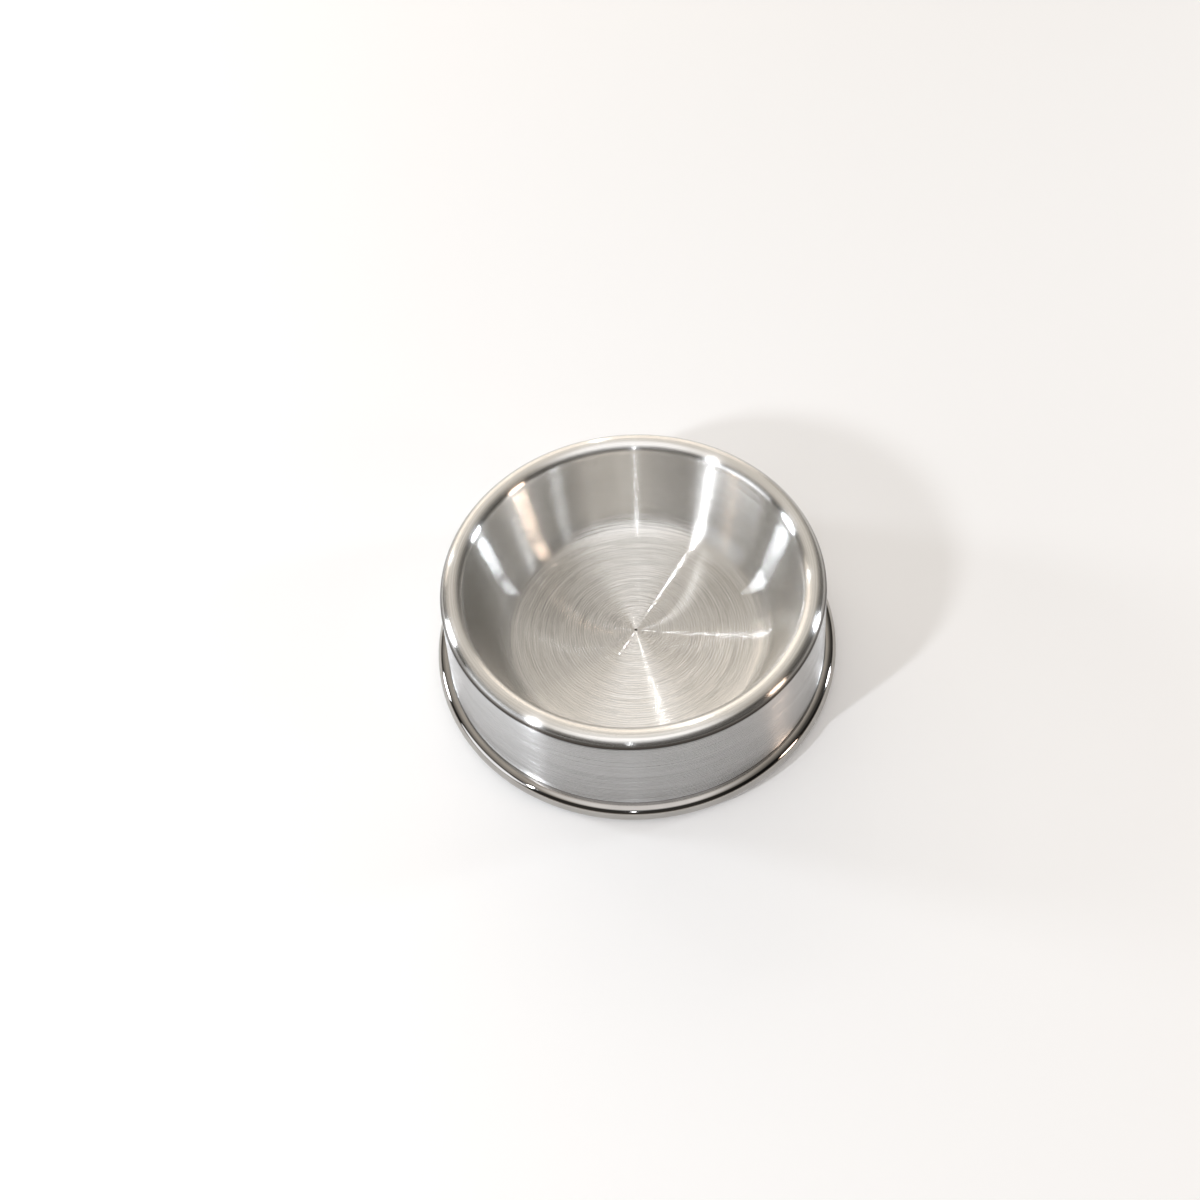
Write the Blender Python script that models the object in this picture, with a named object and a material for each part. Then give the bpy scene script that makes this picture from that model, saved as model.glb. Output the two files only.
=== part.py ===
"""Round double-wall dog bowl of sheet aluminium: a drawn feeding bowl with a rolled rim, a conical outer
skirt tucked under that rim, a polished base bead clinched over the skirt's foot, and a rubber non-slip
ring pressed up into the bead. Units are metres, +Z is up, and the origin is on the axis at floor level."""

import bpy
from math import acos, asin, atan2, cos, hypot, pi, radians, sin

# Overall sizes
RIM_DIAMETER = 0.200
BASE_DIAMETER = 0.220
HEIGHT = 0.0655

# Feeding bowl
FLOOR_HEIGHT = 0.013
FLOOR_DIAMETER = 0.121
FLOOR_FILLET = 0.017
RIM_OUTER_RADIUS = 0.006
RIM_INNER_RADIUS = 0.0068
BOWL_SHEET = 0.0009
LIP_ANGLE = radians(22)

# Outer skirt
SKIRT_SHEET = 0.0009
TONGUE_ANGLE = radians(74)
FOOT_ANGLE = radians(101)
CURL_END_ANGLE = radians(6)

# Base bead
BEAD_RADIUS = 0.0056
BEAD_SHEET = 0.0008
BEAD_LIP_ANGLE = radians(-60)

# Rubber ring
STAND_OFF = 0.001
RUBBER_WIDTH = 0.005
RUBBER_CHAMFER = 0.0005

# Clearance between pieces that touch on the real bowl, and how far it is eased where flat facets eat into it
FIT_GAP = 0.0003
SEAM_EASE = 1.2
SHOULDER_EASE = 2.2
RUBBER_SIDE_EASE = 1.25

# Facets round the axis, the usual step along an arc of a section, and the bend that shades as a crease
SEGMENTS = 64
ARC_STEP = radians(14)
CREASE_ANGLE = radians(40)
MERGE_DISTANCE = 0.00001

# Places that follow from the sizes, as (radius, height) in the half section
ROLL_CENTRE = (RIM_DIAMETER / 2 - RIM_OUTER_RADIUS, HEIGHT - RIM_OUTER_RADIUS)
BLEND_CENTRE = (ROLL_CENTRE[0], HEIGHT - RIM_INNER_RADIUS)
FILLET_CENTRE = (FLOOR_DIAMETER / 2, FLOOR_HEIGHT + FLOOR_FILLET)
BEAD_CENTRE = (BASE_DIAMETER / 2 - BEAD_RADIUS, STAND_OFF + BEAD_RADIUS)
TONGUE_RADIUS = RIM_OUTER_RADIUS - BOWL_SHEET - FIT_GAP
NEST_RADIUS = BEAD_RADIUS - BEAD_SHEET - FIT_GAP


def polar(centre, radius, angle):
    """The point on a circle of the half section, at an angle measured up from straight outwards."""
    return (centre[0] + radius * cos(angle), centre[1] + radius * sin(angle))


def arc(centre, radius, start, end):
    """Points along an arc from start to end, both included."""
    count = max(1, round(abs(end - start) / ARC_STEP))
    return [polar(centre, radius, start + (end - start) * i / count) for i in range(count + 1)]


def touch_angle(centre, point, reach, side):
    """The angle on a circle of this reach at which a straight line from the point touches it."""
    across = point[0] - centre[0]
    up = point[1] - centre[1]
    return atan2(up, across) + side * acos(reach / hypot(across, up))


def surface(name, colour, metallic, roughness):
    """A plain Principled material."""
    material = bpy.data.materials.new(name)
    material.use_nodes = True
    shader = material.node_tree.nodes["Principled BSDF"]
    shader.inputs["Base Color"].default_value = (*colour, 1.0)
    shader.inputs["Metallic"].default_value = metallic
    shader.inputs["Roughness"].default_value = roughness
    return material


def turned(name, section, closed, sheet, material):
    """Turns a half section about the axis. An open section is thickened into sheet on its hidden side."""
    count = len(section)
    edges = [(i, (i + 1) % count) for i in range(count if closed else count - 1)]
    mesh = bpy.data.meshes.new(name)
    mesh.from_pydata([(radius, 0.0, height) for radius, height in section], edges, [])
    piece = bpy.data.objects.new(name, mesh)
    bpy.context.scene.collection.objects.link(piece)
    turn = piece.modifiers.new("Turn", 'SCREW')
    turn.steps = SEGMENTS
    turn.render_steps = SEGMENTS
    turn.use_merge_vertices = True
    turn.merge_threshold = MERGE_DISTANCE
    if not closed:
        thicken = piece.modifiers.new("Sheet", 'SOLIDIFY')
        thicken.thickness = sheet
        thicken.offset = -1.0
        thicken.use_even_offset = True
    finished = bpy.data.meshes.new_from_object(piece.evaluated_get(bpy.context.evaluated_depsgraph_get()))
    piece.modifiers.clear()
    piece.data = finished
    finished.shade_smooth()
    finished.set_sharp_from_angle(angle=CREASE_ANGLE)
    finished.materials.clear()
    finished.materials.append(material)
    return piece


def feeding_bowl(material):
    """Floor, fillet, wall and rolled rim of one drawn sheet. The roll ends in a lip over the skirt's top."""
    wall = touch_angle(FILLET_CENTRE, BLEND_CENTRE, FLOOR_FILLET + RIM_INNER_RADIUS, -1)
    section = [
        (0.0, FLOOR_HEIGHT),
        *arc(FILLET_CENTRE, FLOOR_FILLET, -pi / 2, wall),
        *arc(BLEND_CENTRE, RIM_INNER_RADIUS, wall + pi, pi / 2),
        *arc(ROLL_CENTRE, RIM_OUTER_RADIUS, pi / 2, LIP_ANGLE)[1:],
    ]
    return turned("feeding_bowl", section, False, BOWL_SHEET, material)


def outer_skirt(material):
    """A tongue under the rolled rim, a step out to the seam below its lip, the cone, and the curled foot."""
    foot = polar(BEAD_CENTRE, NEST_RADIUS, FOOT_ANGLE)
    seam = LIP_ANGLE - SEAM_EASE * FIT_GAP / RIM_OUTER_RADIUS
    cone = touch_angle(ROLL_CENTRE, foot, RIM_OUTER_RADIUS, 1)
    section = [
        *arc(ROLL_CENTRE, TONGUE_RADIUS, TONGUE_ANGLE, seam),
        *arc(ROLL_CENTRE, RIM_OUTER_RADIUS, seam, cone),
        *arc(BEAD_CENTRE, NEST_RADIUS, FOOT_ANGLE, CURL_END_ANGLE),
    ]
    return turned("outer_skirt", section, False, SKIRT_SHEET, material)


def base_ring(material):
    """The bead: from its lip against the skirt, over the top and round the outside, to a lip underneath."""
    lip_radius = polar(BEAD_CENTRE, NEST_RADIUS, FOOT_ANGLE)[0] + FIT_GAP
    lip = acos((lip_radius - BEAD_CENTRE[0]) / BEAD_RADIUS)
    section = [
        *arc(BEAD_CENTRE, BEAD_RADIUS, lip, 0.0),
        *arc(BEAD_CENTRE, BEAD_RADIUS, 0.0, BEAD_LIP_ANGLE)[1:],
    ]
    return turned("base_ring", section, False, BEAD_SHEET, material)


def non_slip_ring(material):
    """A rubber ring whose shoulder sits above the bead's lower lip. Its flat foot stands on the floor."""
    curl_end = polar(BEAD_CENTRE, NEST_RADIUS - SKIRT_SHEET, CURL_END_ANGLE)
    top = curl_end[1] - FIT_GAP
    bead_lip = polar(BEAD_CENTRE, BEAD_RADIUS - BEAD_SHEET, BEAD_LIP_ANGLE)
    outside = bead_lip[0] - RUBBER_SIDE_EASE * FIT_GAP
    inside = outside - RUBBER_WIDTH
    shoulder = BEAD_LIP_ANGLE + SHOULDER_EASE * FIT_GAP / NEST_RADIUS
    section = [
        (inside, top),
        *arc(BEAD_CENTRE, NEST_RADIUS, asin((top - BEAD_CENTRE[1]) / NEST_RADIUS), shoulder),
        (outside, bead_lip[1] + FIT_GAP),
        (outside, RUBBER_CHAMFER),
        (outside - RUBBER_CHAMFER, 0.0),
        (inside + RUBBER_CHAMFER, 0.0),
        (inside, RUBBER_CHAMFER),
    ]
    return turned("non_slip_ring", section, True, 0.0, material)


for leftover in list(bpy.data.objects):
    bpy.data.objects.remove(leftover, do_unlink=True)

feeding_bowl(surface("satin_aluminium", (0.60, 0.59, 0.56), 1.0, 0.38))
outer_skirt(surface("brushed_aluminium", (0.56, 0.56, 0.54), 1.0, 0.36))
base_ring(surface("polished_aluminium", (0.74, 0.73, 0.71), 1.0, 0.08))
non_slip_ring(surface("black_rubber", (0.020, 0.020, 0.021), 0.0, 0.70))
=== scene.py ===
import bpy
from math import acos, asin, atan2, cos, hypot, pi, radians, sin
from mathutils import Matrix, Vector


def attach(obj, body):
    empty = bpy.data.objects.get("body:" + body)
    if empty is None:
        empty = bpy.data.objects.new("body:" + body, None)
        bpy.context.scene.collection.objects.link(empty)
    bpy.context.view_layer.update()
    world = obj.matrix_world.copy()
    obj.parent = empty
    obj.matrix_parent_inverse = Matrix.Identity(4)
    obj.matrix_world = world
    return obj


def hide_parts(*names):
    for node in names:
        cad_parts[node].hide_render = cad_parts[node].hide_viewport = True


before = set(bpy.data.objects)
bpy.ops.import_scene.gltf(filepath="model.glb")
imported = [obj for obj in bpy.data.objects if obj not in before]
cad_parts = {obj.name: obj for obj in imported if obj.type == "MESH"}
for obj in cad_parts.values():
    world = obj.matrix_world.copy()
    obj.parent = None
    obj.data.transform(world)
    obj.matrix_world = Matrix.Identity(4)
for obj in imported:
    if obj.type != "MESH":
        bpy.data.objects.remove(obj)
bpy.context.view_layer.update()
print("frame loaded:", sorted(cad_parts))


# small helpers

def toLinear(hexColour):
    channels = [int(hexColour[i:i + 2], 16) / 255 for i in (1, 3, 5)]
    return tuple(c / 12.92 if c <= 0.04045 else ((c + 0.055) / 1.055) ** 2.4 for c in channels) + (1.0,)


def addNode(tree, kind, inputs=None, **settings):
    # inputs: socket name or number -> a value, or an output socket to link from
    node = tree.nodes.new(kind)
    for key, value in settings.items():
        setattr(node, key, value)
    for key, value in (inputs or {}).items():
        if isinstance(value, bpy.types.NodeSocket):
            tree.links.new(value, node.inputs[key])
        else:
            node.inputs[key].default_value = value
    return node


# half sections: lists of (radius, height) points
arcStep = radians(3)            # along an arc
lipStep = radians(20)           # round the thin edge of a sheet
cornerStep = radians(15)        # round the small corners of the rubber


def polar(centre, radius, angle):
    return (centre[0] + radius * cos(angle), centre[1] + radius * sin(angle))


def arc(centre, radius, start, end, step=arcStep):
    count = max(2, round(abs(end - start) / step))
    return [polar(centre, radius, start + (end - start) * i / count) for i in range(count + 1)]


def sheetEdge(centre, radius, sheet, angle):
    # the rounded edge where an arc of sheet ends, from its outer side to its inner side
    return arc(polar(centre, radius - sheet / 2, angle), sheet / 2, angle, angle - pi, lipStep)[1:-1]


def closingEdge(centre, radius, sheet, angle):
    # the rounded edge where a section closes, from the inner side back to the section's first point
    return arc(polar(centre, radius - sheet / 2, angle), sheet / 2, angle + pi, angle, lipStep)[1:]


def touchAngle(centre, point, reach, side):
    # where on a circle a straight line from the point touches it
    across, up = point[0] - centre[0], point[1] - centre[1]
    return atan2(up, across) + side * acos(reach / hypot(across, up))


def spread(start, end, count):
    # points between two ends, the ends left out
    return [(start[0] + (end[0] - start[0]) * i / count, start[1] + (end[1] - start[1]) * i / count)
            for i in range(1, count)]


# the turning tree: every piece is a half section swept round the axis
bakeMap = "OFBake"              # along the section and round the axis, so that baked lines follow the rings
mergeWithin = 1e-6              # closes the seam and the pole


def makeTurningTree():
    tree = bpy.data.node_groups.new("turnAboutAxis", "GeometryNodeTree")
    face = tree.interface
    face.new_socket("Half Section", in_out="INPUT", socket_type="NodeSocketGeometry")
    face.new_socket("Steps Around", in_out="INPUT", socket_type="NodeSocketInt")
    face.new_socket("Finish", in_out="INPUT", socket_type="NodeSocketMaterial")
    face.new_socket("Turned Piece", in_out="OUTPUT", socket_type="NodeSocketGeometry")
    source = addNode(tree, "NodeGroupInput")
    section, around, finish = source.outputs[0], source.outputs[1], source.outputs[2]
    # a grid with one row for each point of the section and one column for each step round the axis
    size = addNode(tree, "GeometryNodeAttributeDomainSize", {"Geometry": section}, component="MESH")
    rows = size.outputs["Point Count"]
    columns = addNode(tree, "FunctionNodeIntegerMath", {0: around, 1: 1}, operation="ADD")
    grid = addNode(tree, "GeometryNodeMeshGrid", {"Vertices X": columns.outputs[0], "Vertices Y": rows})
    index = addNode(tree, "GeometryNodeInputIndex").outputs[0]
    row = addNode(tree, "FunctionNodeIntegerMath", {0: index, 1: rows}, operation="MODULO")
    column = addNode(tree, "FunctionNodeIntegerMath", {0: index, 1: rows}, operation="DIVIDE_FLOOR")
    # where each point goes
    place = addNode(tree, "GeometryNodeInputPosition")
    point = addNode(tree, "GeometryNodeSampleIndex",
                    {"Geometry": section, "Value": place.outputs[0], "Index": row.outputs[0]},
                    data_type="FLOAT_VECTOR", domain="POINT")
    parts = addNode(tree, "ShaderNodeSeparateXYZ", {0: point.outputs["Value"]})
    radius = parts.outputs["X"]
    share = addNode(tree, "ShaderNodeMath", {0: column.outputs[0], 1: around}, operation="DIVIDE")
    angle = addNode(tree, "ShaderNodeMath", {0: share.outputs[0], 1: 2 * pi}, operation="MULTIPLY")
    cosine = addNode(tree, "ShaderNodeMath", {0: angle.outputs[0]}, operation="COSINE")
    sine = addNode(tree, "ShaderNodeMath", {0: angle.outputs[0]}, operation="SINE")
    xPlace = addNode(tree, "ShaderNodeMath", {0: radius, 1: cosine.outputs[0]}, operation="MULTIPLY")
    yPlace = addNode(tree, "ShaderNodeMath", {0: radius, 1: sine.outputs[0]}, operation="MULTIPLY")
    turned = addNode(tree, "ShaderNodeCombineXYZ",
                     {"X": xPlace.outputs[0], "Y": yPlace.outputs[0], "Z": parts.outputs["Z"]})
    # the same two measures as a map
    along = addNode(tree, "GeometryNodeInputNamedAttribute", {"Name": "along"}, data_type="FLOAT")
    alongHere = addNode(tree, "GeometryNodeSampleIndex",
                        {"Geometry": section, "Value": along.outputs[0], "Index": row.outputs[0]},
                        data_type="FLOAT", domain="POINT")
    onMap = addNode(tree, "ShaderNodeCombineXYZ", {"X": alongHere.outputs["Value"], "Y": share.outputs[0]})
    perPoint = addNode(tree, "GeometryNodeFieldOnDomain", {0: onMap.outputs[0]},
                       data_type="FLOAT_VECTOR", domain="POINT")
    mapped = addNode(tree, "GeometryNodeStoreNamedAttribute",
                     {"Geometry": grid.outputs["Mesh"], "Name": bakeMap, "Value": perPoint.outputs[0]},
                     data_type="FLOAT2", domain="CORNER")
    moved = addNode(tree, "GeometryNodeSetPosition",
                    {"Geometry": mapped.outputs["Geometry"], "Position": turned.outputs[0]})
    closed = addNode(tree, "GeometryNodeMergeByDistance",
                     {"Geometry": moved.outputs[0], "Distance": mergeWithin})
    outward = addNode(tree, "GeometryNodeFlipFaces", {"Mesh": closed.outputs[0]})
    smooth = addNode(tree, "GeometryNodeSetShadeSmooth",
                     {"Geometry": outward.outputs[0], "Shade Smooth": True})
    real = addNode(tree, "GeometryNodeRealizeInstances", {"Geometry": smooth.outputs[0]})
    dressed = addNode(tree, "GeometryNodeSetMaterial", {"Geometry": real.outputs[0], "Material": finish})
    addNode(tree, "NodeGroupOutput", {0: dressed.outputs[0]})
    return tree


turningTree = makeTurningTree()


def turnPiece(name, section, stepsAround, finish, node):
    # the section runs along the food side or outer side first, so that faces point out after the flip
    mesh = bpy.data.meshes.new(name + "Section")
    mesh.from_pydata([(r, 0.0, z) for r, z in section], [(i, i + 1) for i in range(len(section) - 1)], [])
    steps = [0.0] + [hypot(b[0] - a[0], b[1] - a[1]) for a, b in zip(section, section[1:])]
    along = mesh.attributes.new("along", "FLOAT", "POINT")     # how far along the section, from 0 to 1
    along.data.foreach_set("value", [sum(steps[:i + 1]) / sum(steps) for i in range(len(steps))])
    piece = bpy.data.objects.new(name, mesh)
    bpy.context.scene.collection.objects.link(piece)
    turning = piece.modifiers.new("turning", "NODES")
    turning.node_group = turningTree
    sockets = {s.name: s.identifier for s in turningTree.interface.items_tree if s.in_out == "INPUT"}
    turning[sockets["Steps Around"]] = stepsAround
    turning[sockets["Finish"]] = finish
    solid = bpy.data.meshes.new_from_object(piece.evaluated_get(bpy.context.evaluated_depsgraph_get()))
    solid.name = name
    piece.modifiers.remove(turning)
    piece.data = solid
    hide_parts(node)
    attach(piece, "root")
    print("turned", name, len(solid.vertices), "points")


# finishes
ringNoise = {"wallPace": 1.3,                       # how much a rise counts against a step outwards
             "fineDetail": 2.0, "broadDetail": 1.0, "mix": 0.6,
             "swayLine": 1.7, "swayArc": 3.0}       # the noise that leans along a line, beside the fine one
leanSpan = (0.25, 0.75)         # noise values that lean fully one way and fully the other
toneSpan = (0.3, 0.7)           # noise values that give the least and the most roughness
flatFrom = 0.9                  # how upright a normal is where a floor starts


def newFinish(name):
    material = bpy.data.materials.new(name)
    material.use_nodes = True
    tree = material.node_tree
    return material, tree, tree.nodes["Principled BSDF"]


def brushedRings(tree, brush):
    # rings about the axis: ring noise, turning marks, the direction round the axis, height and radius
    coord = addNode(tree, "ShaderNodeTexCoord").outputs["Object"]
    flat = addNode(tree, "ShaderNodeVectorMath", {0: coord, 1: (1, 1, 0)}, operation="MULTIPLY").outputs[0]
    radius = addNode(tree, "ShaderNodeVectorMath", {0: flat}, operation="LENGTH").outputs["Value"]
    outwards = addNode(tree, "ShaderNodeVectorMath", {0: flat}, operation="NORMALIZE").outputs[0]
    height = addNode(tree, "ShaderNodeSeparateXYZ", {0: coord}).outputs["Z"]
    # grows outwards on the floor and upwards on a wall
    along = addNode(tree, "ShaderNodeMath", {0: height, 1: ringNoise["wallPace"], 2: radius},
                    operation="MULTIPLY_ADD").outputs[0]
    kinds = {"fine": (brush["fineLine"], brush["fineArc"], ringNoise["fineDetail"]),
             "broad": (brush["broadLine"], brush["broadArc"], ringNoise["broadDetail"]),
             "sway": (brush["fineLine"] * ringNoise["swayLine"], brush["fineArc"] * ringNoise["swayArc"],
                      ringNoise["fineDetail"])}
    rings = {"height": height, "radius": radius}
    for kind, (spacing, arcShare, detail) in kinds.items():
        depth = addNode(tree, "ShaderNodeMath", {0: along, 1: 1.0 / spacing}, operation="MULTIPLY")
        turn = addNode(tree, "ShaderNodeVectorMath", {0: outwards, "Scale": arcShare}, operation="SCALE")
        lift = addNode(tree, "ShaderNodeCombineXYZ", {"Z": depth.outputs[0]})
        where = addNode(tree, "ShaderNodeVectorMath", {0: turn.outputs[0], 1: lift.outputs[0]},
                        operation="ADD")
        noise = addNode(tree, "ShaderNodeTexNoise", {"Vector": where.outputs[0], "Scale": 1.0,
                                                     "Detail": detail, "Roughness": ringNoise["mix"]})
        rings[kind] = noise.outputs[0]
    drift = addNode(tree, "ShaderNodeMath", {0: rings["broad"], 1: brush["drift"]}, operation="MULTIPLY")
    phase = addNode(tree, "ShaderNodeMath", {0: along, 1: 2 * pi / brush["pitch"], 2: drift.outputs[0]},
                    operation="MULTIPLY_ADD")
    rings["marks"] = addNode(tree, "ShaderNodeMath", {0: phase.outputs[0]}, operation="SINE").outputs[0]
    rings["around"] = addNode(tree, "ShaderNodeVectorMath", {0: (0, 0, 1), 1: outwards},
                              operation="CROSS_PRODUCT").outputs[0]
    return rings


def brushedGrooves(tree, rings, brush, cut):
    # each line leans its own way across the grooves, which draws light out, and a little along them
    normal = addNode(tree, "ShaderNodeNewGeometry").outputs["Normal"]
    across = addNode(tree, "ShaderNodeVectorMath", {0: rings["around"], 1: normal},
                     operation="CROSS_PRODUCT").outputs[0]
    upright = addNode(tree, "ShaderNodeSeparateXYZ", {0: normal}).outputs["Z"]
    slope = addNode(tree, "ShaderNodeMapRange",
                    {"Value": upright, "From Min": flatFrom, "From Max": 1.0,
                     "To Min": brush["slope"], "To Max": brush["floorSlope"]}).outputs[0]
    # the turning marks, brought to the span of the noise
    reach, middle = (leanSpan[1] - leanSpan[0]) / 2, (leanSpan[0] + leanSpan[1]) / 2
    marks = addNode(tree, "ShaderNodeMath", {0: rings["marks"], 1: reach, 2: middle},
                    operation="MULTIPLY_ADD").outputs[0]
    lean = normal
    for value, direction, amount in ((rings["fine"], across, slope),
                                     (marks, across, brush["markSlope"]),
                                     (rings["sway"], rings["around"], brush["sway"])):
        tilt = addNode(tree, "ShaderNodeMapRange",
                       {"Value": value, "From Min": leanSpan[0], "From Max": leanSpan[1],
                        "To Min": -1.0, "To Max": 1.0}, interpolation_type="SMOOTHSTEP")
        deep = addNode(tree, "ShaderNodeMath", {0: tilt.outputs[0], 1: amount}, operation="MULTIPLY")
        strength = addNode(tree, "ShaderNodeMath", {0: deep.outputs[0], 1: cut}, operation="MULTIPLY")
        side = addNode(tree, "ShaderNodeVectorMath", {0: direction, "Scale": strength.outputs[0]},
                       operation="SCALE")
        lean = addNode(tree, "ShaderNodeVectorMath", {0: lean, 1: side.outputs[0]},
                       operation="ADD").outputs[0]
    return addNode(tree, "ShaderNodeVectorMath", {0: lean}, operation="NORMALIZE").outputs[0], across


# Drawn aluminium, brushed in circles and buffed on the rim: pale warm grey, with light drawn out into rays
# across the rings. The brushing lines are about 0.06 mm wide. Turning marks are finer than the render can
# show and are drawn 1.4 mm apart. A painted shade darkens the seam under the rim's lip, and a dark spot
# lies on the axis.
satinInside = {"dark": "#dfdedb", "pale": "#f0efec", "rough": (0.18, 0.21), "aniso": 1.0,
               "fineLine": 0.00006, "fineArc": 1.2, "broadLine": 0.006, "broadArc": 2.0, "broadShare": 0.15,
               "pitch": 0.0014, "drift": 1.0, "markShare": 0.26, "markSlope": 0.05,
               "slope": 0.45, "floorSlope": 1.0, "sway": 0.010,
               "floorGloss": 0.72, "floorSpan": (0.0135, 0.0200),              # the floor is a closer satin
               "buffedSpan": (0.0580, 0.0618), "buffedRough": 0.2, "buffedCut": 0.25,
               # painted shade under the roll's lip, where it meets the skirt, and a dark spot on the axis:
               # its colour and places
               "seamShadeAndAxisSpot": "#4a4540",
               "seamShadeAndAxisSpotAt": [[("radius", 0.0945, 0.0990), ("height", 0.0655, 0.0618)],
                             [("radius", 0.0010, 0.0005)]]}
# Spun aluminium, brushed round the axis: a cooler, slightly darker grey than the inside. Its lines are about
# 0.12 mm wide. Its turning marks are finer than the render can show and are drawn 1.6 mm apart. Painted shade
# darkens both seams. It has no floor, and the buffing's span is above its top, so that none of it is buffed.
satinSkirt = {"dark": "#aeaeae", "pale": "#d2d2d2", "rough": (0.25, 0.31), "aniso": 0.9,
              "fineLine": 0.00012, "fineArc": 0.5, "broadLine": 0.007, "broadArc": 1.6, "broadShare": 0.35,
              "pitch": 0.0016, "drift": 4.0, "markShare": 0.25, "markSlope": 0.04,
              "slope": 0.8, "floorSlope": 0.8, "sway": 0.015,
              "floorGloss": 1.0, "floorSpan": (0.0135, 0.0200),
              "buffedSpan": (0.0700, 0.0710), "buffedRough": 0.3, "buffedCut": 0.25,
              # painted shade along the seam under the rim and in the crease at the foot: its colour and
              # places
              "seamShadeAndAxisSpot": "#38342f",
              "seamShadeAndAxisSpotAt": [[("height", 0.0603, 0.0616)],
                            [("height", 0.0124, 0.0112)]]}


def seamShadeAndAxisSpotShare(tree, rings, places):
    # 0 to 1: how dark a point is painted, with shade at the seams and a dark spot on the axis. A place is a
    #         list of (measure, its start, where it is full)
    total = 0.0
    for place in places:
        share = 1.0
        for measure, start, full in place:
            ramp = addNode(tree, "ShaderNodeMapRange",
                           {"Value": rings[measure], "From Min": start, "From Max": full},
                           interpolation_type="SMOOTHSTEP")
            share = addNode(tree, "ShaderNodeMath", {0: ramp.outputs[0], 1: share},
                            operation="MULTIPLY").outputs[0]
        total = addNode(tree, "ShaderNodeMath", {0: share, 1: total}, operation="MAXIMUM").outputs[0]
    return total


def satinAluminium(name, brush):
    material, tree, shader = newFinish(name)
    rings = brushedRings(tree, brush)
    soft = addNode(tree, "ShaderNodeMix", {0: brush["broadShare"], 2: rings["fine"], 3: rings["broad"]},
                   data_type="FLOAT")
    tone = addNode(tree, "ShaderNodeMath", {0: rings["marks"], 1: brush["markShare"], 2: soft.outputs[0]},
                   operation="MULTIPLY_ADD").outputs[0]
    metal = addNode(tree, "ShaderNodeMix", {0: tone, 6: toLinear(brush["dark"]), 7: toLinear(brush["pale"])},
                    data_type="RGBA")
    seamShadeAndAxisSpot = seamShadeAndAxisSpotShare(tree, rings, brush["seamShadeAndAxisSpotAt"])
    # darkens the metal's colour with the painted seam shade and the axis spot
    colour = addNode(tree, "ShaderNodeMix",
                     {0: seamShadeAndAxisSpot, 6: metal.outputs[2], 7: toLinear(brush["seamShadeAndAxisSpot"])}, data_type="RGBA")
    satin = addNode(tree, "ShaderNodeMapRange",
                    {"Value": tone, "From Min": toneSpan[0], "From Max": toneSpan[1],
                     "To Min": brush["rough"][0], "To Max": brush["rough"][1]})
    closer = addNode(tree, "ShaderNodeMapRange",
                     {"Value": rings["height"], "From Min": brush["floorSpan"][0],
                      "From Max": brush["floorSpan"][1], "To Min": brush["floorGloss"], "To Max": 1.0})
    rough = addNode(tree, "ShaderNodeMath", {0: satin.outputs[0], 1: closer.outputs[0]}, operation="MULTIPLY")
    buffed = addNode(tree, "ShaderNodeMapRange",
                     {"Value": rings["height"], "From Min": brush["buffedSpan"][0],
                      "From Max": brush["buffedSpan"][1]}, interpolation_type="SMOOTHSTEP").outputs[0]
    gloss = addNode(tree, "ShaderNodeMix", {0: buffed, 2: rough.outputs[0], 3: brush["buffedRough"]},
                    data_type="FLOAT")
    cut = addNode(tree, "ShaderNodeMapRange", {"Value": buffed, "To Min": 1.0, "To Max": brush["buffedCut"]})
    normal, across = brushedGrooves(tree, rings, brush, cut.outputs[0])
    tree.links.new(colour.outputs[2], shader.inputs["Base Color"])
    tree.links.new(gloss.outputs[0], shader.inputs["Roughness"])
    tree.links.new(normal, shader.inputs["Normal"])
    tree.links.new(across, shader.inputs["Tangent"])
    shader.inputs["Metallic"].default_value = 1.0
    shader.inputs["Anisotropic"].default_value = brush["aniso"]
    return material


# Aluminium polished on a wheel: bright and mirror-like, with faint lines round the bead.
# Polishing lines are finer than the render can show and are drawn 1.2 mm apart.
polishedBead = {"dark": "#a09d99", "pale": "#bab7b3", "rough": (0.04, 0.08),
                "fineLine": 0.0012, "fineArc": 1.0, "broadLine": 0.01, "broadArc": 6.0,
                "pitch": 0.0012, "drift": 4.0, "groove": 0.000004}


def polishedAluminium(name, brush):
    material, tree, shader = newFinish(name)
    rings = brushedRings(tree, brush)
    colour = addNode(tree, "ShaderNodeMix",
                     {0: rings["broad"], 6: toLinear(brush["dark"]), 7: toLinear(brush["pale"])},
                     data_type="RGBA")
    rough = addNode(tree, "ShaderNodeMapRange",
                    {"Value": rings["fine"], "From Min": toneSpan[0], "From Max": toneSpan[1],
                     "To Min": brush["rough"][0], "To Max": brush["rough"][1]})
    bump = addNode(tree, "ShaderNodeBump",
                   {"Strength": 1.0, "Distance": brush["groove"], "Height": rings["fine"]})
    tree.links.new(colour.outputs[2], shader.inputs["Base Color"])
    tree.links.new(rough.outputs[0], shader.inputs["Roughness"])
    tree.links.new(bump.outputs[0], shader.inputs["Normal"])
    shader.inputs["Metallic"].default_value = 1.0
    return material


# Moulded black rubber: matt charcoal with a fine stipple from the mould, 0.6 mm across, and patches of dust.
rubberMould = {"dark": "#161617", "pale": "#262627", "rough": (0.58, 0.74),
               "grain": 0.0006, "grainDetail": 2.0, "depth": 0.00005, "bump": 0.8,
               "dustScale": 60.0, "dustDetail": 3.0}


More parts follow.
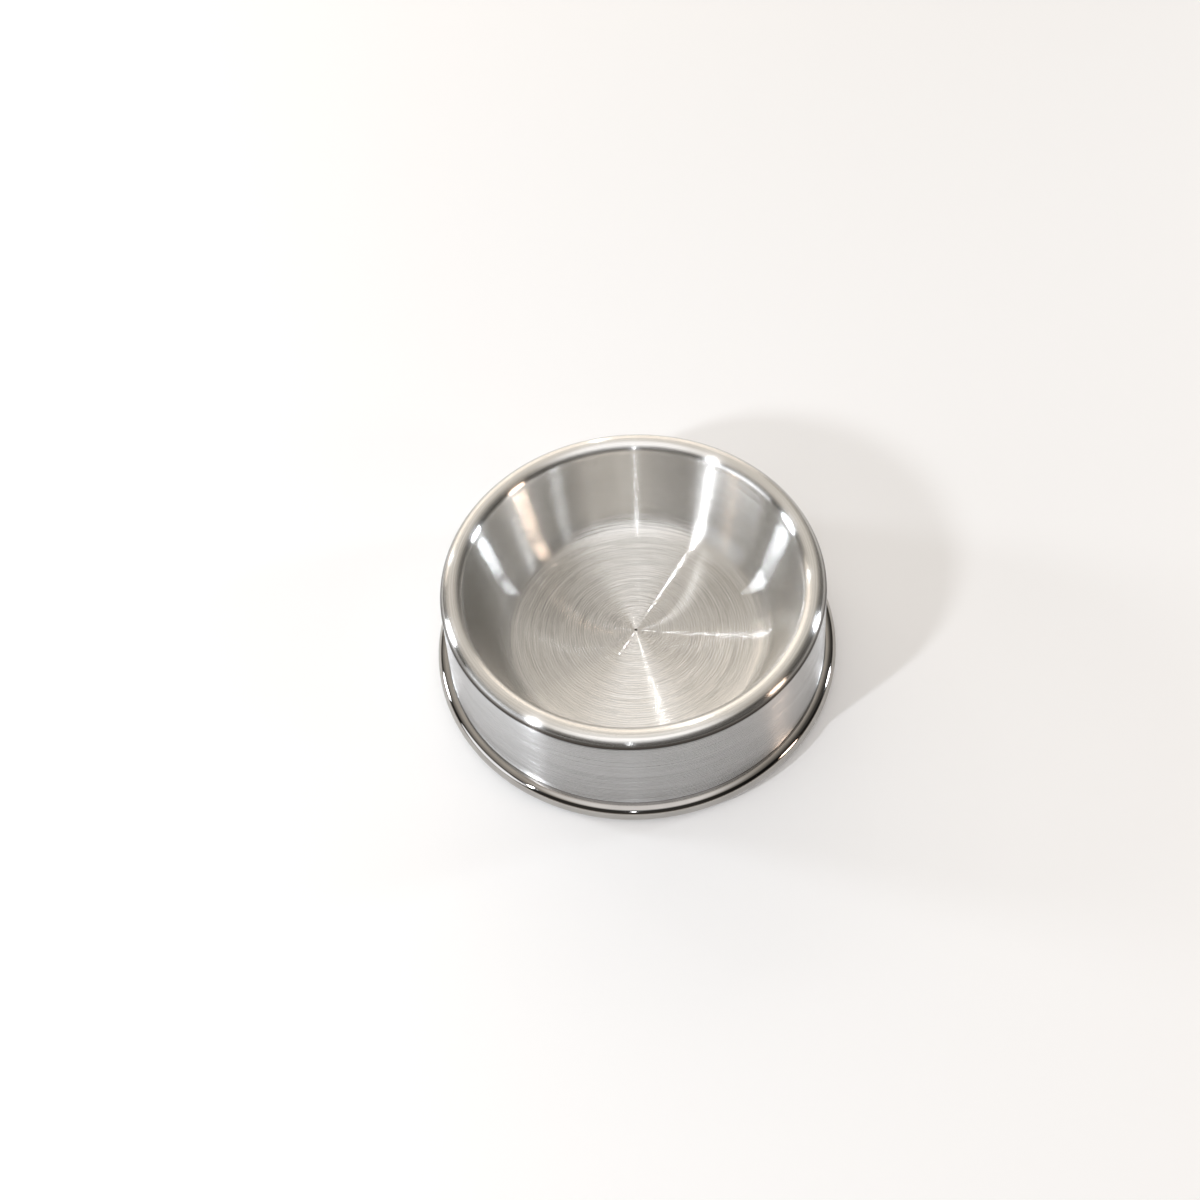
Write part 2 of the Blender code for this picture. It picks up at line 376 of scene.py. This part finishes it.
def mouldedRubber(name, mould):
    material, tree, shader = newFinish(name)
    coord = addNode(tree, "ShaderNodeTexCoord").outputs["Object"]
    grain = addNode(tree, "ShaderNodeTexNoise",
                    {"Vector": coord, "Scale": 1.0 / mould["grain"], "Detail": mould["grainDetail"]})
    dust = addNode(tree, "ShaderNodeTexNoise",
                   {"Vector": coord, "Scale": mould["dustScale"], "Detail": mould["dustDetail"]}).outputs[0]
    colour = addNode(tree, "ShaderNodeMix", {0: dust, 6: toLinear(mould["dark"]), 7: toLinear(mould["pale"])},
                     data_type="RGBA")
    rough = addNode(tree, "ShaderNodeMapRange",
                    {"Value": dust, "From Min": toneSpan[0], "From Max": toneSpan[1],
                     "To Min": mould["rough"][0], "To Max": mould["rough"][1]})
    bump = addNode(tree, "ShaderNodeBump",
                   {"Strength": mould["bump"], "Distance": mould["depth"], "Height": grain.outputs[0]})
    tree.links.new(colour.outputs[2], shader.inputs["Base Color"])
    tree.links.new(rough.outputs[0], shader.inputs["Roughness"])
    tree.links.new(bump.outputs[0], shader.inputs["Normal"])
    return material


# shared sizes, in metres, as in the frame: the gap between pieces that touch, and its easing at each seat
fitGap = 0.0003
seamEase = 1.2
shoulderEase = 2.2
rubberSideEase = 1.25

# the bead's sizes come first, because the skirt's foot and the rubber ring sit in it
bead = {"radius": 0.0056, "sheet": 0.0008, "baseDiameter": 0.220, "standOff": 0.001, "lowerLip": radians(-60),
        "stepsAround": 288}
beadCentre = (bead["baseDiameter"] / 2 - bead["radius"], bead["standOff"] + bead["radius"])
nestRadius = bead["radius"] - bead["sheet"] - fitGap

# feeding bowl: floor, fillet, wall and rolled rim
bowl = {"rimDiameter": 0.200, "height": 0.0655, "floorHeight": 0.013, "floorDiameter": 0.121, "fillet": 0.017,
        "rollOuter": 0.006, "rollInner": 0.0068, "sheet": 0.0009, "lipAngle": radians(22),
        "floorRows": 8, "wallRows": 6, "stepsAround": 288}
rollCentre = (bowl["rimDiameter"] / 2 - bowl["rollOuter"], bowl["height"] - bowl["rollOuter"])
blendCentre = (rollCentre[0], bowl["height"] - bowl["rollInner"])
filletCentre = (bowl["floorDiameter"] / 2, bowl["floorHeight"] + bowl["fillet"])


def bowlSection(b):
    sheet = b["sheet"]
    wall = touchAngle(filletCentre, blendCentre, b["fillet"] + b["rollInner"], -1)
    middle, floorEdge = (0.0, b["floorHeight"]), (filletCentre[0], b["floorHeight"])
    wallFoot = polar(filletCentre, b["fillet"], wall)
    wallTop = polar(blendCentre, b["rollInner"], wall + pi)
    inside = [middle, *spread(middle, floorEdge, b["floorRows"])]
    inside += arc(filletCentre, b["fillet"], -pi / 2, wall)
    inside += spread(wallFoot, wallTop, b["wallRows"])
    inside += arc(blendCentre, b["rollInner"], wall + pi, pi / 2)
    inside += arc(rollCentre, b["rollOuter"], pi / 2, b["lipAngle"])[1:]
    lip = sheetEdge(rollCentre, b["rollOuter"], sheet, b["lipAngle"])
    under = arc(rollCentre, b["rollOuter"] - sheet, b["lipAngle"], pi / 2)
    under += arc(blendCentre, b["rollInner"] - sheet, pi / 2, wall + pi)[1:]
    under += arc(filletCentre, b["fillet"] + sheet, wall, -pi / 2)
    under += [(0.0, b["floorHeight"] - sheet)]
    return inside + lip + under


turnPiece("feedingBowl", bowlSection(bowl), bowl["stepsAround"],
          satinAluminium("satinBrushedAluminium", satinInside), "feeding_bowl")

# outer skirt: tongue under the roll, step at the seam, cone, curled foot
skirt = {"sheet": 0.0009, "tongueAngle": radians(74), "footAngle": radians(101), "curlEnd": radians(6),
         "wallRows": 6, "stepsAround": 288}


def skirtSection(s):
    sheet = s["sheet"]
    foot = polar(beadCentre, nestRadius, s["footAngle"])
    seam = bowl["lipAngle"] - seamEase * fitGap / bowl["rollOuter"]
    cone = touchAngle(rollCentre, foot, bowl["rollOuter"], 1)
    tongue = bowl["rollOuter"] - bowl["sheet"] - fitGap
    outer = arc(rollCentre, tongue, s["tongueAngle"], seam)
    outer += arc(rollCentre, bowl["rollOuter"], seam, cone)
    outer += spread(polar(rollCentre, bowl["rollOuter"], cone), foot, s["wallRows"])
    outer += arc(beadCentre, nestRadius, s["footAngle"], s["curlEnd"])
    curl = sheetEdge(beadCentre, nestRadius, sheet, s["curlEnd"])
    # the hidden side: the cone's line set in by the sheet, cut where it meets the curl's inner circle
    reach = rollCentre[0] * cos(cone) + rollCentre[1] * sin(cone) + bowl["rollOuter"] - sheet
    middle = beadCentre[0] * cos(cone) + beadCentre[1] * sin(cone)
    meets = cone + acos((reach - middle) / (nestRadius - sheet))
    inner = arc(beadCentre, nestRadius - sheet, s["curlEnd"], meets)
    inner += arc(rollCentre, bowl["rollOuter"] - sheet, cone, seam - sheet / bowl["rollOuter"])
    inner += arc(rollCentre, tongue - sheet, seam - sheet / tongue, s["tongueAngle"])
    return outer + curl + inner + closingEdge(rollCentre, tongue, sheet, s["tongueAngle"])


turnPiece("outerSkirt", skirtSection(skirt), skirt["stepsAround"],
          satinAluminium("spunBrushedAluminium", satinSkirt), "outer_skirt")


# base bead: a rolled bead over the skirt's foot, with rounded lips
def beadSection(b):
    sheet = b["sheet"]
    lipRadius = polar(beadCentre, nestRadius, skirt["footAngle"])[0] + fitGap
    lip = acos((lipRadius - beadCentre[0]) / b["radius"])
    outer = arc(beadCentre, b["radius"], lip, b["lowerLip"])
    low = sheetEdge(beadCentre, b["radius"], sheet, b["lowerLip"])
    inner = arc(beadCentre, b["radius"] - sheet, b["lowerLip"], lip)
    return outer + low + inner + closingEdge(beadCentre, b["radius"], sheet, lip)


turnPiece("baseBead", beadSection(bead), bead["stepsAround"],
          polishedAluminium("polishedAluminium", polishedBead), "base_ring")

# rubber ring: shoulder above the bead's lower lip, flat foot with two shallow grooves
rubber = {"width": 0.005, "corner": 0.0005, "grooveDepth": 0.0004, "grooveWidth": 0.0008, "grooveFlat": 0.5,
          "groovesAt": (0.33, 0.67), "stepsAround": 240}


def rubberSection(r):
    corner = r["corner"]
    top = polar(beadCentre, nestRadius - skirt["sheet"], skirt["curlEnd"])[1] - fitGap
    beadLip = polar(beadCentre, bead["radius"] - bead["sheet"], bead["lowerLip"])
    outside = beadLip[0] - rubberSideEase * fitGap
    inside = outside - r["width"]
    shoulder = bead["lowerLip"] + shoulderEase * fitGap / nestRadius
    section = [(inside + corner, top)]
    section += arc(beadCentre, nestRadius, asin((top - beadCentre[1]) / nestRadius), shoulder)
    section += [(outside, beadLip[1] + fitGap)]
    section += arc((outside - corner, corner), corner, 0.0, -pi / 2, cornerStep)
    for share in r["groovesAt"]:
        middle = outside - corner - (r["width"] - 2 * corner) * share
        half = r["grooveWidth"] / 2
        flat = half * r["grooveFlat"]
        section += [(middle + half, 0.0), (middle + flat, r["grooveDepth"])]
        section += [(middle - flat, r["grooveDepth"]), (middle - half, 0.0)]
    section += arc((inside + corner, corner), corner, -pi / 2, -pi, cornerStep)
    section += arc((inside + corner, top - corner), corner, pi, pi / 2, cornerStep)
    return section


turnPiece("nonSlipRing", rubberSection(rubber), rubber["stepsAround"],
          mouldedRubber("mouldedBlackRubber", rubberMould), "non_slip_ring")


# camera, from the photograph's outlines
view = {"elevation": radians(55.81), "roll": radians(-3.73), "distance": 0.6433, "target": 0.02574,
        "sensor": 36.0, "lens": 35.57, "shift": (-0.02917, 0.01408), "clipStart": 0.01}


def placeCamera(v):
    camera = bpy.data.objects.new("camera", bpy.data.cameras.new("camera"))
    bpy.context.scene.collection.objects.link(camera)
    camera.data.sensor_width = v["sensor"]
    camera.data.lens = v["lens"]
    camera.data.shift_x, camera.data.shift_y = v["shift"]
    camera.data.clip_start = v["clipStart"]
    stand = Matrix.Translation((0.0, -v["distance"] * cos(v["elevation"]),
                                v["target"] + v["distance"] * sin(v["elevation"])))
    tilt = Matrix.Rotation(pi / 2 - v["elevation"], 4, "X")
    camera.matrix_world = stand @ tilt @ Matrix.Rotation(v["roll"], 4, "Z")
    bpy.context.scene.camera = camera


placeCamera(view)
print("camera placed")

# stage: a plain pale floor, a soft grey room with a glow overhead, and softboxes
stage = {"floor": "#f4f4f3", "floorSize": 30.0, "floorDrop": 0.0002, "floorRough": 0.9, "floorLift": 0.08,
         "walls": "#fff7ed", "horizon": 0.06, "ceiling": 0.72, "dusk": (0.42, 0.58), "tilt": 0.35,
         "aside": 0.10, "sides": (0.35, 0.80), "sideShare": 0.15,
         "haze": 0.55, "hazeSpan": (0.05, 0.22),
         "glow": 0.75, "glowColour": "#f2f6ff", "glowAt": (266, 70), "glowSpan": (0.84, 0.98),
         "lampAway": 1.6, "lampAim": 0.03}


def seenDirectly(tree):
    # 1 for what the camera, a mirror or glass looks at
    path = addNode(tree, "ShaderNodeLightPath")
    looked = path.outputs["Is Camera Ray"]
    for ray in ("Is Glossy Ray", "Is Transmission Ray"):
        looked = addNode(tree, "ShaderNodeMath", {0: looked, 1: path.outputs[ray]},
                         operation="MAXIMUM").outputs[0]
    return looked


def makeFloor(s):
    half = s["floorSize"] / 2
    corners = [(x * half, y * half, -s["floorDrop"]) for x, y in ((-1, -1), (1, -1), (1, 1), (-1, 1))]
    mesh = bpy.data.meshes.new("floor")
    mesh.from_pydata(corners, [], [(0, 1, 2, 3)])
    floor = bpy.data.objects.new("floor", mesh)
    bpy.context.scene.collection.objects.link(floor)
    material, tree, shader = newFinish("palePaper")
    shader.inputs["Base Color"].default_value = toLinear(s["floor"])
    shader.inputs["Roughness"].default_value = s["floorRough"]
    shader.inputs["Specular IOR Level"].default_value = 0.0
    lift = addNode(tree, "ShaderNodeMath", {0: seenDirectly(tree), 1: s["floorLift"]}, operation="MULTIPLY")
    shader.inputs["Emission Color"].default_value = (1, 1, 1, 1)
    tree.links.new(lift.outputs[0], shader.inputs["Emission Strength"])
    # seen from below, the floor is clear, so that the underside can be looked at
    below = addNode(tree, "ShaderNodeNewGeometry").outputs["Backfacing"]
    clear = addNode(tree, "ShaderNodeBsdfTransparent")
    oneSided = addNode(tree, "ShaderNodeMixShader", {0: below, 1: shader.outputs[0], 2: clear.outputs[0]})
    tree.links.new(oneSided.outputs[0], tree.nodes["Material Output"].inputs["Surface"])
    mesh.materials.append(material)


def towards(azimuth, elevation):
    # the direction from the bowl, in degrees from +X and from the floor
    a, e = radians(azimuth), radians(elevation)
    return Vector((cos(e) * cos(a), cos(e) * sin(a), sin(e)))


def makeRoom(s):
    world = bpy.data.worlds.new("softGreyRoom")
    bpy.context.scene.world = world
    world.use_nodes = True
    tree = world.node_tree
    coord = addNode(tree, "ShaderNodeTexCoord").outputs["Generated"]
    parts = addNode(tree, "ShaderNodeSeparateXYZ", {0: coord})
    # brighter overhead and behind the bowl, darker low down and in front of it
    height = addNode(tree, "ShaderNodeMath", {0: parts.outputs["Y"], 1: s["tilt"], 2: parts.outputs["Z"]},
                     operation="MULTIPLY_ADD")
    level = addNode(tree, "ShaderNodeMapRange",
                    {"Value": height.outputs[0], "From Min": s["dusk"][0], "From Max": s["dusk"][1],
                     "To Min": s["horizon"], "To Max": s["ceiling"]})
    # darker to both sides
    leaning = addNode(tree, "ShaderNodeMath", {0: parts.outputs["X"], 1: s["aside"]}, operation="ADD")
    sideways = addNode(tree, "ShaderNodeMath", {0: leaning.outputs[0]}, operation="ABSOLUTE")
    share = addNode(tree, "ShaderNodeMapRange",
                    {"Value": sideways.outputs[0], "From Min": s["sides"][0], "From Max": s["sides"][1],
                     "To Min": 1.0, "To Max": s["sideShare"]})
    shaded = addNode(tree, "ShaderNodeMath", {0: level.outputs[0], 1: share.outputs[0]}, operation="MULTIPLY")
    # a pale band behind the floor's far edge
    haze = addNode(tree, "ShaderNodeMapRange",
                   {"Value": parts.outputs["Z"], "From Min": s["hazeSpan"][0], "From Max": s["hazeSpan"][1],
                    "To Min": s["haze"], "To Max": 0.0}, interpolation_type="SMOOTHSTEP")
    walls = addNode(tree, "ShaderNodeMath", {0: shaded.outputs[0], 1: haze.outputs[0]}, operation="MAXIMUM")
    # a soft round glow
    nearness = addNode(tree, "ShaderNodeVectorMath", {0: coord, 1: towards(*s["glowAt"])},
                       operation="DOT_PRODUCT")
    glow = addNode(tree, "ShaderNodeMapRange",
                   {"Value": nearness.outputs["Value"], "From Min": s["glowSpan"][0],
                    "From Max": s["glowSpan"][1], "To Max": s["glow"]}, interpolation_type="SMOOTHSTEP")
    room = addNode(tree, "ShaderNodeBackground",
                   {"Color": toLinear(s["walls"]), "Strength": walls.outputs[0]})
    light = addNode(tree, "ShaderNodeBackground",
                    {"Color": toLinear(s["glowColour"]), "Strength": glow.outputs[0]})
    both = addNode(tree, "ShaderNodeAddShader", {0: room.outputs[0], 1: light.outputs[0]})
    tree.nodes.remove(tree.nodes["Background"])
    tree.links.new(both.outputs[0], tree.nodes["World Output"].inputs["Surface"])


softboxes = [
    # name, azimuth from +X, elevation, width and height seen from the bowl in degrees, brightness, colour
    ("keyLamp", 216, 32, 2, 7, 360.0, "#f6f9ff"),
    ("leftPanel", 198, 16, 40, 24, 2.0, "#f6f9ff"),
    ("rightWindow", 337, 16, 10, 11, 14.0, "#ffe2cc"),
    ("frontLamp", 264, 29, 1.2, 8, 22.0, "#f6f9ff"),
    ("backLamp", 93.5, 31, 0.5, 6, 50.0, "#ffffff"),
    ("backLeftLamp", 131, 30, 1.2, 5, 32.0, "#f2f7ff"),
    ("backPanel", 104, 24, 96, 28, 1.1, "#fff2e4"),
    ("leftLamp", 163, 15, 10, 13, 32.0, "#f2f7ff"),
    ("rightLamp", 11, 14, 7, 12, 32.0, "#f2f7ff"),
]


def makeSoftbox(s, name, azimuth, elevation, wide, tall, brightness, colour):
    lamp = bpy.data.lights.new(name, "AREA")
    lamp.shape = "ELLIPSE"
    lamp.size = 2 * s["lampAway"] * sin(radians(wide / 2))
    lamp.size_y = 2 * s["lampAway"] * sin(radians(tall / 2))
    face = pi / 4 * lamp.size * lamp.size_y
    lamp.energy = brightness * pi * face                       # brightness is the face's radiance
    lamp.color = toLinear(colour)[:3]
    holder = bpy.data.objects.new(name, lamp)
    bpy.context.scene.collection.objects.link(holder)
    direction = towards(azimuth, elevation)
    holder.location = direction * s["lampAway"] + Vector((0, 0, s["lampAim"]))
    holder.rotation_euler = direction.to_track_quat("Z", "Y").to_euler()


makeFloor(stage)
makeRoom(stage)
for box in softboxes:
    makeSoftbox(stage, *box)
bpy.context.scene.view_settings.view_transform = "Standard"
print("stage set:", len(softboxes), "softboxes")
